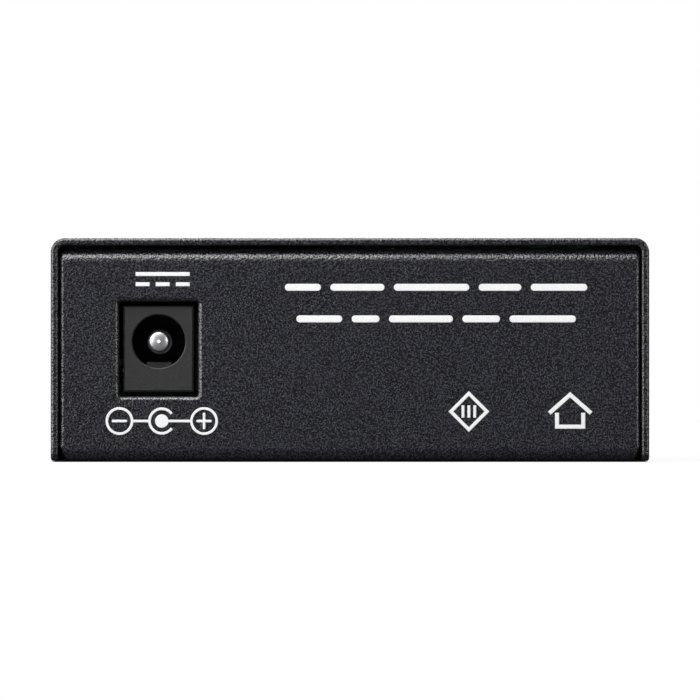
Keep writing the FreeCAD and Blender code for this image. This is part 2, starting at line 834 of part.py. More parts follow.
def plug_cavity(front_y, depth):
    """Cutter for the plug and its latch, from a front face inwards."""
    inwards = Vector(0, -depth, 0)
    half = plug_width / 2
    latch = latch_width / 2
    outline = [(-half, plug_top), (half, plug_top), (half, plug_bottom), (latch, plug_bottom)]
    outline += [(latch, plug_bottom - latch_height), (-latch, plug_bottom - latch_height)]
    outline += [(-latch, plug_bottom), (-half, plug_bottom)]
    shifted = [(socket_x + u, v) for u, v in outline]
    return outline_prism(shifted, in_end_view(front_y), inwards)


def make_socket_shield():
    """Folded metal shell: front frame, sides, top and back, open below, with two board tabs."""
    shell = block(about(socket_x, socket_width), (socket_back_y, socket_front_y), (board_top, socket_top))
    inner_x = about(socket_x, socket_width - 2 * shield_thickness)
    inner_y = (socket_back_y + shield_thickness, socket_front_y - shield_thickness)
    hollow = block(inner_x, inner_y, (board_top - sheet, socket_top - shield_thickness))
    shell = shell.cut([hollow, plug_cavity(socket_front_y + sheet, 2 * sheet)])
    tabs = []
    for x, y in shield_tab_places():
        x_range = about(x, shield_thickness)
        tabs.append(block(x_range, about(y, shield_tab_width), (lead_tip, board_top + sheet)))
    return shell.fuse(tabs).removeSplitter()


def make_socket_housing():
    """Moulded insert with the plug's cavity, a comb for the contacts and two board pegs."""
    inset = shield_thickness + shield_gap
    x_range = about(socket_x, socket_width - 2 * inset)
    y_range = (socket_back_y + inset, socket_front_y - inset)
    body = block(x_range, y_range, (board_top, socket_top - inset))
    peg_length = 2 * board_thickness
    pegs = [Part.makeCylinder(peg_radius, peg_length, Vector(x, y, board_top - peg_length))
            for x, y in peg_places()]
    body = body.fuse(pegs)
    groove = contact_width + 2 * contact_groove_gap
    groove_top = plug_top + 4 * contact_thickness
    tail_gap = 2 * contact_thickness
    cutters = [plug_cavity(socket_front_y, plug_depth)]
    for index in range(contact_count):
        x = about(contact_x(index), groove)
        tail_y = contact_tail_y(index)
        cutters.append(block(x, (tail_y - tail_gap, contact_front_y() + tail_gap),
                             (plug_top - contact_thickness, groove_top)))
        cutters.append(block(x, about(tail_y, 2 * tail_gap), (board_top - sheet, groove_top)))
    return body.cut(cutters)


def contact_front_y():
    """Where the contacts fold back over the plug."""
    return socket_front_y - contact_fold_inset


def make_socket_contacts():
    """Eight spring contacts: up from the board, forward over the cavity and back down into it."""
    half = contact_thickness / 2
    run_z = plug_top + 2 * contact_thickness
    front_y = contact_front_y()
    contacts = []
    for index in range(contact_count):
        tail_y = contact_tail_y(index)
        path = [(tail_y, lead_tip), (tail_y, run_z), (front_y, run_z)]
        path.append((front_y - contact_run, plug_top - contact_drop + half))
        place = in_side_view(contact_x(index) - contact_width / 2)
        width = Vector(contact_width, 0, 0)
        contacts.append(bent_strip(path, -half, half, contact_bend, place, width))
    return contacts


# ---------------------------------------------------------------- optical transceiver
def port_centres():
    return [optic_x + side * port_pitch / 2 for side in (-1, 1)]


def optic_pin_places():
    y = optic_back_y + optic_pin_pitch / 2
    middle = (optic_pin_count - 1) / 2
    return [(optic_x + (index - middle) * optic_pin_pitch, y) for index in range(optic_pin_count)]


def optic_stud_places():
    y = optic_joint_y - 2 * optic_pin_pitch
    return [(optic_x + side * optic_stud_spacing / 2, y) for side in (-1, 1)]


def make_optic_receptacle():
    """Moulded nose with two keyed ports for square push-pull connectors."""
    x_range = about(optic_x, optic_width)
    nose = block(x_range, (optic_joint_y, optic_front_y), (board_top, board_top + optic_height))
    nose = chamfer_where(nose, port_corner,
                         lambda box: near(box.YMin, optic_front_y) and near(box.YMax, optic_front_y))
    inwards = Vector(0, -port_depth, 0)
    cutters = []
    for x in port_centres():
        centre = (x, optic_axis_z)
        cutters.append(rounded_prism(centre, port_width, port_height, port_corner,
                                     in_end_view(optic_front_y), inwards))
        key_z = (optic_axis_z, optic_axis_z + port_height / 2 + key_height)
        cutters.append(block(about(x, key_width), (optic_front_y - key_depth, optic_front_y), key_z))
        hole = Vector(x, optic_joint_y - sheet, optic_axis_z)
        cutters.append(Part.makeCylinder(ferrule_tube_radius + thread_gap, optic_nose_depth, hole,
                                         Vector(0, 1, 0)))
    return nose.cut(cutters)


def make_optic_ferrule_tubes():
    """Two tubes that guide the connectors' ferrules; each bore is closed at its inner end."""
    length = ferrule_front_y - optic_joint_y
    bore_end = ferrule_mouth + ferrule_bore_length
    tubes = []
    for x in port_centres():
        profile = [(0, length), (ferrule_tube_radius, length), (ferrule_tube_radius, 0)]
        profile += [(ferrule_radius + ferrule_mouth, 0), (ferrule_radius, ferrule_mouth)]
        profile += [(ferrule_radius, bore_end), (0, bore_end)]
        tubes.append(turned(profile, Vector(x, ferrule_front_y, optic_axis_z), Vector(0, -1, 0)))
    return tubes


def make_optic_latches():
    """Four hooked arms that snap onto the connectors."""
    tip_y = ferrule_front_y - latch_hook / 4
    arms = []
    for centre in port_centres():
        for side in (-1, 1):
            inner = centre + side * latch_arm_offset
            outer = inner + side * latch_arm_thickness
            hook = inner - side * latch_hook
            outline = [(inner, port_floor_y), (inner, tip_y - 3 * latch_hook)]
            outline += [(hook, tip_y - 2 * latch_hook), (hook, tip_y - latch_hook), (inner, tip_y)]
            outline += [(outer, tip_y), (outer, port_floor_y)]
            low = optic_axis_z - latch_arm_height / 2
            arms.append(outline_prism(outline, in_plan_view(low), Vector(0, 0, latch_arm_height)))
    return arms


def make_optic_body():
    """Sealed rear half of the transceiver, on four low feet."""
    half = optic_width / 2
    low = board_top + optic_foot
    high = board_top + optic_height - optic_foot
    edge = 3 * optic_foot
    outline = [(-half, low), (half, low), (half, high - edge), (half - edge, high)]
    outline += [(-half + edge, high), (-half, high - edge)]
    shifted = [(optic_x + u, v) for u, v in outline]
    body = outline_prism(shifted, in_end_view(optic_back_y), Vector(0, optic_body_depth, 0))
    feet = []
    for x_side in (-1, 1):
        for y in (optic_back_y + 3 * optic_pin_pitch, optic_joint_y - optic_pin_pitch):
            x_range = about(optic_x + x_side * (half - edge), edge)
            feet.append(block(x_range, about(y, edge), (board_top, low + optic_foot)))
    return body.fuse(feet).removeSplitter()


def make_optic_pins():
    """Nine signal pins and two mounting studs."""
    top = board_top + optic_foot
    pins = [(x, y, optic_pin_radius) for x, y in optic_pin_places()]
    pins += [(x, y, optic_stud_radius) for x, y in optic_stud_places()]
    return [Part.makeCylinder(radius, top - lead_tip, Vector(x, y, lead_tip)) for x, y, radius in pins]


# ---------------------------------------------------------------- indicator lamps
def lamp_places():
    """End-view positions of the lamps."""
    places = []
    for column in range(lamp_columns):
        x = lamp_x + (column - (lamp_columns - 1) / 2) * lamp_column_pitch
        places += [(x, board_top + lamp_first_height + row * lamp_row_pitch) for row in range(lamp_rows)]
    return places


def lamp_lead_places():
    """Plan position of each lamp lead, and the height of its lamp."""
    places = []
    for x, z in lamp_places():
        row = round((z - board_top - lamp_first_height) / lamp_row_pitch)
        y = holder_back_y - lamp_lead_side - row * lamp_lead_row_step
        places += [(x + side * lamp_lead_pitch / 2, y, z) for side in (-1, 1)]
    return places


def make_lamp_holder():
    """Moulded block that carries the lamps behind the port panel."""
    top = board_top + lamp_first_height + (lamp_rows - 1) * lamp_row_pitch + holder_wall + lamp_hole_gap
    holder = block(about(lamp_x, holder_width), (holder_back_y, holder_front_y), (board_top, top))
    cutters = []
    flange_y = lamp_back_y + lamp_flange_length
    hole_gap = lamp_hole_gap / 2
    inwards = Vector(0, -1, 0)
    for x, z in lamp_places():
        front = Vector(x, holder_front_y + sheet, z)
        cutters.append(Part.makeCylinder(lamp_radius + hole_gap, holder_depth, front, inwards))
        back = Vector(x, flange_y, z)
        cutters.append(Part.makeCylinder(lamp_flange_radius + hole_gap, holder_depth, back, inwards))
    return holder.cut(cutters)


def make_lamps():
    lamps = []
    for x, z in lamp_places():
        dome_y = lamp_tip_y - lamp_radius
        body = Part.makeCylinder(lamp_radius, lamp_length - lamp_radius, Vector(0, 0, 0))
        dome = Part.makeSphere(lamp_radius, Vector(0, 0, 0), Vector(0, 0, -1), 0, 90, 360)
        flange_start = lamp_length - lamp_radius - lamp_flange_length
        flange = Part.makeCylinder(lamp_flange_radius, lamp_flange_length, Vector(0, 0, flange_start))
        lamp = body.fuse([dome, flange]).removeSplitter()
        lamp.Placement = FreeCAD.Placement(Vector(x, dome_y, z),
                                           FreeCAD.Rotation(Vector(0, 0, 1), Vector(0, -1, 0)))
        lamps.append(lamp)
    return lamps


def make_lamp_leads():
    half = lamp_lead_side / 2
    width = Vector(lamp_lead_side, 0, 0)
    leads = []
    for x, y, z in lamp_lead_places():
        path = [(lamp_back_y, z), (y, z), (y, lead_tip)]
        leads.append(bent_strip(path, -half, half, half, in_side_view(x - half), width))
    return leads


# ---------------------------------------------------------------- parts on the board
def gull_wing(base, outward, top):
    """One gull-wing lead, from a package's side at base out and down to the board."""
    rise = top - board_top
    half = chip_lead_thickness / 2
    path = [(0, rise), (chip_lead_shoulder, rise), (chip_lead_heel, half), (chip_lead_run, half)]
    width = Vector(chip_lead_width, 0, 0)
    lead = bent_strip(path, -half, half, 0, in_side_view(-chip_lead_width / 2), width)
    turn = FreeCAD.Rotation(Vector(0, 1, 0), outward)
    lead.Placement = FreeCAD.Placement(Vector(base[0], base[1], board_top), turn)
    return lead


def make_switch_chip():
    low = board_top + chip_standoff
    chip = block(about(chip_x, chip_side), about(chip_y, chip_side), (low, low + chip_height))
    return chamfer_where(chip, chip_chamfer, lambda box: box.ZLength < 1e-4 and box.ZMin > low)


def make_switch_chip_leads():
    leads = []
    middle = (chip_leads_per_side - 1) / 2
    mid_height = board_top + chip_standoff + chip_height / 2
    for index in range(chip_leads_per_side):
        along = (index - middle) * chip_lead_pitch
        reach = chip_side / 2
        spots = [((chip_x + along, chip_y + reach), Vector(0, 1, 0))]
        spots.append(((chip_x + along, chip_y - reach), Vector(0, -1, 0)))
        spots.append(((chip_x + reach, chip_y + along), Vector(1, 0, 0)))
        spots.append(((chip_x - reach, chip_y + along), Vector(-1, 0, 0)))
        for base, outward in spots:
            leads.append(gull_wing(base, outward, mid_height))
    return leads


def two_sided_leads(x, y, width, count, pitch, mid_height):
    """Gull-wing leads along the two long sides of a package."""
    leads = []
    for index in range(count):
        along = (index - (count - 1) / 2) * pitch
        for side in (-1, 1):
            base = (x + along, y + side * width / 2)
            leads.append(gull_wing(base, Vector(0, side, 0), mid_height))
    return leads


def make_memory_chip():
    low = board_top + chip_standoff
    chip = block(about(memory_x, memory_length), about(memory_y, memory_width), (low, low + memory_height))
    return chamfer_where(chip, chip_chamfer, lambda box: box.ZLength < 1e-4 and box.ZMin > low)


def make_memory_chip_leads():
    mid_height = board_top + chip_standoff + memory_height / 2
    return two_sided_leads(memory_x, memory_y, memory_width, memory_leads_per_side,
                           memory_lead_pitch, mid_height)


def make_line_transformer():
    low = board_top + chip_standoff
    x_range = about(socket_x, transformer_length)
    y_range = about(transformer_y, transformer_width)
    body = block(x_range, y_range, (low, low + transformer_height))
    return chamfer_where(body, transformer_chamfer, lambda box: box.ZLength < 1e-4 and box.ZMin > low)


def make_line_transformer_leads():
    mid_height = board_top + transformer_lead_height
    return two_sided_leads(socket_x, transformer_y, transformer_width, transformer_leads_per_side,
                           transformer_lead_pitch, mid_height)


def crystal_lead_places():
    return [(crystal_x + side * crystal_lead_spacing / 2, crystal_y) for side in (-1, 1)]


def make_crystal():
    """Metal can with an obround outline and two leads."""
    place = in_plan_view(board_top)
    radius = crystal_width / 2
    can = rounded_prism((crystal_x, crystal_y), crystal_length, crystal_width, radius, place,
                        Vector(0, 0, crystal_height))
    leads = [Part.makeCylinder(capacitor_lead_radius, board_top - lead_tip, Vector(x, y, lead_tip))
             for x, y in crystal_lead_places()]
    return can.fuse(leads).removeSplitter()


def make_regulator():
    """Three-legged regulator with a wide tab, as one moulded part."""
    low = board_top + chip_standoff
    body = block(about(regulator_x, regulator_length), about(regulator_y, regulator_width),
                 (low, low + regulator_height))
    pad = (board_top, board_top + 2 * chip_standoff)
    tab = block(about(regulator_x, regulator_length / 2), (regulator_y, regulator_y + regulator_width), pad)
    legs = []
    for index in (-1, 0, 1):
        x_range = about(regulator_x + index * regulator_leg_pitch, regulator_leg_width)
        legs.append(block(x_range, (regulator_y - regulator_width, regulator_y), pad))
    return body.fuse([tab] + legs).removeSplitter()


def make_coil_core():
    """Drum core of the supply's coil."""
    top = coil_height
    profile = [(0, 0), (coil_flange_radius, 0), (coil_flange_radius, coil_flange_height)]
    profile += [(coil_core_radius, coil_flange_height), (coil_core_radius, top - coil_flange_height)]
    profile += [(coil_flange_radius, top - coil_flange_height), (coil_flange_radius, top), (0, top)]
    return turned(profile, Vector(coil_x, coil_y, board_top), Vector(0, 0, 1))


def make_coil_winding():
    """Copper winding between the drum's flanges, as a ribbed sleeve."""
    room = coil_height - 2 * coil_flange_height
    turns = int(room / (2 * coil_wire_radius))
    pitch = room / turns
    inner = coil_core_radius
    outer = coil_flange_radius - 2 * coil_wire_radius
    profile = [(inner, coil_flange_height)]
    for index in range(turns):
        start = coil_flange_height + index * pitch
        profile += [(outer, start), (outer + coil_wire_radius, start + pitch / 2)]
    profile += [(outer, coil_flange_height + room), (inner, coil_flange_height + room)]
    return turned(profile, Vector(coil_x, coil_y, board_top), Vector(0, 0, 1))


def capacitor_centres():
    return [(capacitor_first_x + index * capacitor_pitch, capacitor_y) for index in range(capacitor_count)]


def capacitor_lead_places():
    half = capacitor_lead_spacing / 2
    return [(x + side * half, y) for x, y in capacitor_centres() for side in (-1, 1)]


def make_filter_capacitors():
    """Upright cans with a rolled groove near the foot and two leads each."""
    cans = []
    radius = capacitor_radius
    groove = capacitor_groove_height
    for x, y in capacitor_centres():
        profile = [(0, 0), (radius, 0), (radius, groove - capacitor_groove_half)]
        profile += [(radius - capacitor_groove_depth, groove), (radius, groove + capacitor_groove_half)]
        profile += [(radius, capacitor_height - capacitor_top_chamfer)]
        profile += [(radius - capacitor_top_chamfer, capacitor_height), (0, capacitor_height)]
        can = turned(profile, Vector(x, y, board_top), Vector(0, 0, 1))
        leads = [Part.makeCylinder(capacitor_lead_radius, board_top - lead_tip,
                                   Vector(x + side * capacitor_lead_spacing / 2, y, lead_tip))
                 for side in (-1, 1)]
        cans.append(can.fuse(leads).removeSplitter())
    return cans


def make_input_fuse():
    return block(about(fuse_x, fuse_length), about(fuse_y, fuse_width), (board_top, board_top + fuse_height))


def small_part_row(count, y):
    """A row of small chip parts beside the switch chip."""
    parts = []
    for index in range(count):
        x = chip_x + (index - (count - 1) / 2) * small_part_pitch
        parts.append(block(about(x, small_part_width), about(y, small_part_length),
                           (board_top, board_top + small_part_height)))
    return parts


def make_all():
    os.makedirs("parts", exist_ok=True)
    save("base_tray", make_base_tray())
    save("cover", make_cover())
    save("cover_screws", make_cover_screws())
    save("board_standoffs", make_board_standoffs())
    save("board_screws", make_board_screws())
    save("circuit_board", make_circuit_board())
    save("jack_housing", make_jack_housing())
    save("jack_centre_pin", make_jack_centre_pin())
    save("jack_leaf_contact", make_jack_leaf_contact())
    save("jack_side_contact", make_jack_side_contact())
    save("jack_rear_terminal", make_jack_rear_terminal())
    save("socket_shield", make_socket_shield())
    save("socket_housing", make_socket_housing())
    save("socket_contacts", make_socket_contacts())
    save("optic_receptacle", make_optic_receptacle())
    save("optic_ferrule_tubes", make_optic_ferrule_tubes())
    save("optic_latches", make_optic_latches())
    save("optic_body", make_optic_body())
    save("optic_pins", make_optic_pins())
    save("lamp_holder", make_lamp_holder())
    save("lamps", make_lamps())
    save("lamp_leads", make_lamp_leads())
    save("switch_chip", make_switch_chip())
    save("switch_chip_leads", make_switch_chip_leads())
    save("memory_chip", make_memory_chip())
    save("memory_chip_leads", make_memory_chip_leads())
    save("line_transformer", make_line_transformer())
    save("line_transformer_leads", make_line_transformer_leads())
    save("crystal", make_crystal())
    save("regulator", make_regulator())
    save("coil_core", make_coil_core())
    save("coil_winding", make_coil_winding())
    save("filter_capacitors", make_filter_capacitors())
    save("input_fuse", make_input_fuse())
    save("chip_resistors", small_part_row(resistor_count, chip_y + small_part_row_distance))
    save("chip_capacitors", small_part_row(small_capacitor_count, chip_y - small_part_row_distance))


make_all()
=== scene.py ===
import json
import math

import bmesh
import bpy
from mathutils import Matrix, Vector


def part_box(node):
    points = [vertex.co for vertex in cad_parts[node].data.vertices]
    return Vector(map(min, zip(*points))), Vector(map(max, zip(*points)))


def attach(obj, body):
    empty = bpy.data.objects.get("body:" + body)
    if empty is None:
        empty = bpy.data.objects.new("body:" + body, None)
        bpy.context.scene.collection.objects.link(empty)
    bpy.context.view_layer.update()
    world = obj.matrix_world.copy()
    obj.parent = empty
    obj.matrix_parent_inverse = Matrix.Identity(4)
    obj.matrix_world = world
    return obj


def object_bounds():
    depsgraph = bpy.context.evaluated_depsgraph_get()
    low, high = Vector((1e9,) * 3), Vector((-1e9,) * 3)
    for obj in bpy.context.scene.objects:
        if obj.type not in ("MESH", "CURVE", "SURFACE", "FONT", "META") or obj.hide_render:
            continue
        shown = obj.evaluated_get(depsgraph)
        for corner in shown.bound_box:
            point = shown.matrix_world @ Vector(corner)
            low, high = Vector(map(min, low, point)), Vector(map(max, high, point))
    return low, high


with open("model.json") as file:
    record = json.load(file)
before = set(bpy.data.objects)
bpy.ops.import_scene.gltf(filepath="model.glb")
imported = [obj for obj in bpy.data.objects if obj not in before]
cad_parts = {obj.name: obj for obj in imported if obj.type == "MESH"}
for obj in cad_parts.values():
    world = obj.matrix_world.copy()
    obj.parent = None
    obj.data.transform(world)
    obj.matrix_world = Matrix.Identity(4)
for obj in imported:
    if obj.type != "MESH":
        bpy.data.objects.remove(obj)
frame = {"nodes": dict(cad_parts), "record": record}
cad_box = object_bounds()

MM = 0.001
BODY = "root"
FULL_TURN = 2 * math.pi
QUARTER_TURN = math.pi / 2

# ---- places read from the frame ----
case_low, case_high = cad_box
case_middle = (case_low + case_high) / 2
panel_face_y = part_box("base_tray")[0].y
pin_low, pin_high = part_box("jack_centre_pin")
jack_axis_x = (pin_low.x + pin_high.x) / 2

# ---- surfaces ----
COAT_EDGE_ROUND = 0.15 * MM
MOULDING_EDGE_ROUND = 0.1 * MM
EDGE_SAMPLES = 4
COAT_PAINTED_GLINT = 20.0          # how many times lighter a painted glint, a highlight painted into the coat's colour, is than the coat
COAT_LANDS = -0.9          # the lands' share of the coat's height, highest at their middles
COAT_NOISES = ((1.4, 0.9), (3.4, 0.4))    # how much finer than the lands, and share of the height
COAT_BASE_PAINTED_GLINT = 0.25     # the painted glint where the coarser noise is at its middle value, and the ink's mottle there
METAL_SPREAD = 0.12        # how far a plated metal's roughness varies along its lines
METAL_SHINE = 0.05         # how far below its stated value that variation starts
TRACK_SCALE = 180.0        # a board's track pattern, in repeats to the metre
TRACK_GAP = 0.06
TRACK_HEIGHT = 0.02 * MM
MERGE_DISTANCE = 0.0005 * MM
SMOOTH_ANGLE = math.radians(32)

# ---- print: thickness, stroke and smoothness, and each middle across and up the end panel ----
PRINT_THICKNESS = 0.02 * MM
PRINT_STROKE = 0.32 * MM
ARC_STEPS = 48
DOT_SEGMENTS = 40
BAR_END_SEGMENTS = 24
POLARITY_PLACE = (jack_axis_x + 0.39 * MM, 4.99 * MM)
DIRECT_CURRENT_PLACE = (jack_axis_x + 0.5 * MM, 22.3 * MM)
RULES_PLACE = (10.5 * MM, 19.3 * MM)
DIAMOND_PLACE = (14.5 * MM, 6.15 * MM)
HOUSE_PLACE = (26.85 * MM, 6.15 * MM)

# ---- studio ----
FLOOR_REACH = 6.0
FLOOR_COLOR = (0.06, 0.06, 0.06)
FLOOR_WHITE = 0.93         # the floor's white beside the case
FLOOR_FADE = (0.12, 0.5)   # how far from the middle it starts to rise, and is full
ROOM_COLOR = (0.95, 0.97, 1.0)
ROOM_GLOW = 0.01
WHITE = (1, 1, 1)

# name, azimuth and elevation in degrees, distance, width and height in metres, power in watts
LAMPS = (
    ("key_above", -25, 52, 0.4, (0.25, 0.2), 1.45),
    ("left_side", -62, 12, 0.7, (0.9, 0.5), 4.8),
    ("left_front", -42, 5, 0.7, (0.2, 0.3), 0.9),
    ("right_front", 42, 5, 0.7, (0.2, 0.3), 1.2),
    ("overhead", 0, 84, 0.6, (0.5, 0.4), 1.0),
    ("port_end", 195, 20, 0.8, (0.5, 0.3), 3.4),
    ("right_back", 110, 25, 0.8, (0.4, 0.3), 1.7),
)

# ---- camera ----
LENS_LENGTH = 600.0
SENSOR_WIDTH = 36.0
NEAREST = 0.01
FARTHEST = 50.0
CASE_SHARE = 0.85529       # of the view's width
CAMERA_DROP = 7.0 * MM     # below the case's middle


# ================================================================ shader helpers
def connect(tree, value, socket):
    """Link an input to the socket that it reads, or set it to a constant."""
    if isinstance(value, bpy.types.NodeSocket):
        tree.links.new(value, socket)
    else:
        socket.default_value = value


def feed(tree, node, **values):
    """Give a node's inputs, by name, a socket to read from or a constant."""
    for label, value in values.items():
        connect(tree, value, node.inputs[label.replace("_", " ")])


def add_node(tree, kind, **settings):
    node = tree.nodes.new(kind)
    for key, value in settings.items():
        setattr(node, key, value)
    return node


def new_material(name, color, roughness, metallic=0.0, specular=0.5):
    """A material with one Principled shader and its constant values."""
    material = bpy.data.materials.new(name + "_finish")
    material.use_nodes = True
    tree = material.node_tree
    shader = tree.nodes["Principled BSDF"]
    feed(tree, shader, Base_Color=(*color, 1), Roughness=roughness, Metallic=metallic,
         Specular_IOR_Level=specular)
    return material, tree, shader


def math_node(tree, operation, first, second):
    """A Math node whose inputs are sockets or numbers."""
    node = add_node(tree, "ShaderNodeMath", operation=operation)
    for socket, value in zip(node.inputs, (first, second)):
        connect(tree, value, socket)
    return node.outputs[0]


def color_mix(tree, factor, first, second):
    """A mix of two fixed colours."""
    node = add_node(tree, "ShaderNodeMix", data_type="RGBA")
    tree.links.new(factor, node.inputs["Factor"])
    color_inputs = [socket for socket in node.inputs if socket.type == "RGBA"]
    for socket, color in zip(color_inputs, (first, second)):
        socket.default_value = (*color, 1)
    return [socket for socket in node.outputs if socket.type == "RGBA"][0]


def object_place(tree):
    """A point's own place on its piece."""
    return add_node(tree, "ShaderNodeTexCoord").outputs["Object"]


def add_grain(tree, shader, group, dark, light, **values):
    """Place a grain group in a material: its normal, and two colours mixed by its mask."""
    grain = add_node(tree, "ShaderNodeGroup", node_tree=group)
    feed(tree, grain, **values)
    color = color_mix(tree, grain.outputs["Mask"], dark, light)
    feed(tree, shader, Normal=grain.outputs["Normal"], Base_Color=color)


# ================================================================ shared surface effects
def new_grain(name, **inputs):
    """A shader node group with named float inputs, which puts out a normal and a mask."""
    group = bpy.data.node_groups.new(name, "ShaderNodeTree")
    for label, default in inputs.items():
        socket = group.interface.new_socket(label, in_out="INPUT", socket_type="NodeSocketFloat")
        socket.default_value = default
    group.interface.new_socket("Normal", in_out="OUTPUT", socket_type="NodeSocketVector")
    group.interface.new_socket("Mask", in_out="OUTPUT", socket_type="NodeSocketFloat")
    source = group.nodes.new("NodeGroupInput")
    result = group.nodes.new("NodeGroupOutput")
    scale = math_node(group, "DIVIDE", 1.0, source.outputs["Size"])
    return group, source, result, scale


def put_out_grain(group, source, result, height, mask, edge_radius=None):
    """Raise the height by the group's Relief, over edges rounded a little where a radius is given."""
    bump = add_node(group, "ShaderNodeBump")
    if edge_radius:
        edges = add_node(group, "ShaderNodeBevel", samples=EDGE_SAMPLES)
        feed(group, edges, Radius=edge_radius)
        feed(group, bump, Normal=edges.outputs["Normal"])
    feed(group, bump, Distance=source.outputs["Relief"], Height=height)
    feed(group, result, Normal=bump.outputs["Normal"], Mask=mask)
    return group


def build_powder_grain():
    """Fine orange-peel powder coat: rounded lands, broken up by two finer noises, and a mask for painted
    glints.
    """
    group, source, result, scale = new_grain(
        "powder grain", Size=0.3 * MM, Relief=0.045 * MM, Sparkle=9.0)
    place = object_place(group)
    lands = add_node(group, "ShaderNodeTexVoronoi", feature="SMOOTH_F1")
    feed(group, lands, Vector=place, Scale=scale, Smoothness=0.5)
    height = math_node(group, "MULTIPLY", lands.outputs["Distance"], COAT_LANDS)
    noises = []
    for finer, share in COAT_NOISES:
        noise = add_node(group, "ShaderNodeTexNoise")
        feed(group, noise, Vector=place, Scale=math_node(group, "MULTIPLY", scale, finer),
             Detail=2.0, Distortion=0.4)
        raised = math_node(group, "MULTIPLY", noise.outputs["Fac"], share)
        height = math_node(group, "ADD", height, raised)
        noises.append(noise.outputs["Fac"])
    # painted highlights: where the coarser noise is high the mask lightens the coat's colour into
    # glints; on the ink it is a mottle
    above = math_node(group, "SUBTRACT", noises[0], 0.5)
    painted_glints_and_mottle = math_node(group, "MULTIPLY", above, source.outputs["Sparkle"])
    limited = add_node(group, "ShaderNodeClamp")
    feed(group, limited, Value=math_node(group, "ADD", painted_glints_and_mottle, COAT_BASE_PAINTED_GLINT))
    return put_out_grain(group, source, result, height, limited.outputs[0], COAT_EDGE_ROUND)


def build_moulded_grain():
    """Spark-eroded mould texture: an even fine grit."""
    group, source, result, scale = new_grain("moulded grain", Size=0.16 * MM, Relief=0.006 * MM)
    grit = add_node(group, "ShaderNodeTexNoise")
    feed(group, grit, Vector=object_place(group), Scale=scale, Detail=4.0, Roughness=0.6)
    grit_height = grit.outputs["Fac"]
    return put_out_grain(group, source, result, grit_height, grit_height, MOULDING_EDGE_ROUND)


def build_drawn_lines():
    """Faint drawing and plating lines on metal, long in one direction."""
    group, source, result, scale = new_grain(
        "drawn lines", Size=0.4 * MM, Relief=0.002 * MM, Stretch=12.0)
    parts = add_node(group, "ShaderNodeSeparateXYZ")
    group.links.new(object_place(group), parts.inputs[0])
    along = math_node(group, "DIVIDE", parts.outputs["Y"], source.outputs["Stretch"])
    joined = add_node(group, "ShaderNodeCombineXYZ")
    feed(group, joined, X=parts.outputs["X"], Y=along, Z=parts.outputs["Z"])
    lines = add_node(group, "ShaderNodeTexNoise")
    feed(group, lines, Vector=joined.outputs[0], Scale=scale, Detail=3.0)
    return put_out_grain(group, source, result, lines.outputs["Fac"], lines.outputs["Fac"])


powder_grain = build_powder_grain()
moulded_grain = build_moulded_grain()
drawn_lines = build_drawn_lines()


# ================================================================ materials
def lighter(color, times):
    return tuple(times * channel for channel in color)


def coated_steel(name, color, roughness):
    """Black powder coat with painted highlights: lighter glints painted into its colour along its grain.
    """
    material, tree, shader = new_material(name, color, roughness, specular=1.0)
    add_grain(tree, shader, powder_grain, color, lighter(color, COAT_PAINTED_GLINT))
    return material


def moulded_plastic(name, color, roughness, size=0.16 * MM, relief=0.006 * MM, mottle=1.2):
    """A moulded polymer with eroded grain and slightly uneven colour."""
    material, tree, shader = new_material(name, color, roughness, specular=0.6)
    add_grain(tree, shader, moulded_grain, color, lighter(color, mottle), Size=size, Relief=relief)
    return material


def plated_metal(name, color, roughness, relief=0.002 * MM):
    """A plated or polished metal with faint drawn lines."""
    material, tree, shader = new_material(name, color, roughness, metallic=1.0)
    lines = add_node(tree, "ShaderNodeGroup", node_tree=drawn_lines)
    feed(tree, lines, Relief=relief)
    spread = math_node(tree, "MULTIPLY", lines.outputs["Mask"], METAL_SPREAD)
    uneven = math_node(tree, "ADD", spread, roughness - METAL_SHINE)
    feed(tree, shader, Normal=lines.outputs["Normal"], Roughness=uneven)
    return material


def screen_print(name):
    """White ink: matt, with a faint mottle where it lies on the grain."""
    material, tree, shader = new_material(name, (0.9, 0.9, 0.91), 0.6)
    add_grain(tree, shader, powder_grain, (0.93, 0.93, 0.94), (0.87, 0.87, 0.88),
              Relief=0.004 * MM)
    return material


def lamp_epoxy(name):
    """Tinted clear epoxy of the lamps."""
    material, tree, shader = new_material(name, (0.25, 0.62, 0.2), 0.12)
    feed(tree, shader, Transmission_Weight=0.55)
    add_grain(tree, shader, moulded_grain, (0.22, 0.58, 0.18), (0.3, 0.68, 0.24),
              Size=0.4 * MM, Relief=0.002 * MM)
    return material


def solder_masked_board(name):
    """Green solder mask over a pattern of copper tracks, both greens darkened as painted shade for the
    case's dark inside.
    """
    material, tree, shader = new_material(name, (0.01, 0.12, 0.04), 0.35)
    tracks = add_node(tree, "ShaderNodeTexBrick")
    feed(tree, tracks, Vector=object_place(tree), Scale=TRACK_SCALE, Mortar_Size=TRACK_GAP)
    # painted shade: these greens are darker than the board's own, for the shade inside the case
    color = color_mix(tree, tracks.outputs["Fac"], (0.0015, 0.014, 0.006), (0.004, 0.035, 0.014))
    bump = add_node(tree, "ShaderNodeBump")
    feed(tree, bump, Distance=TRACK_HEIGHT, Height=tracks.outputs["Fac"])
    feed(tree, shader, Base_Color=color, Normal=bump.outputs["Normal"])
    return material


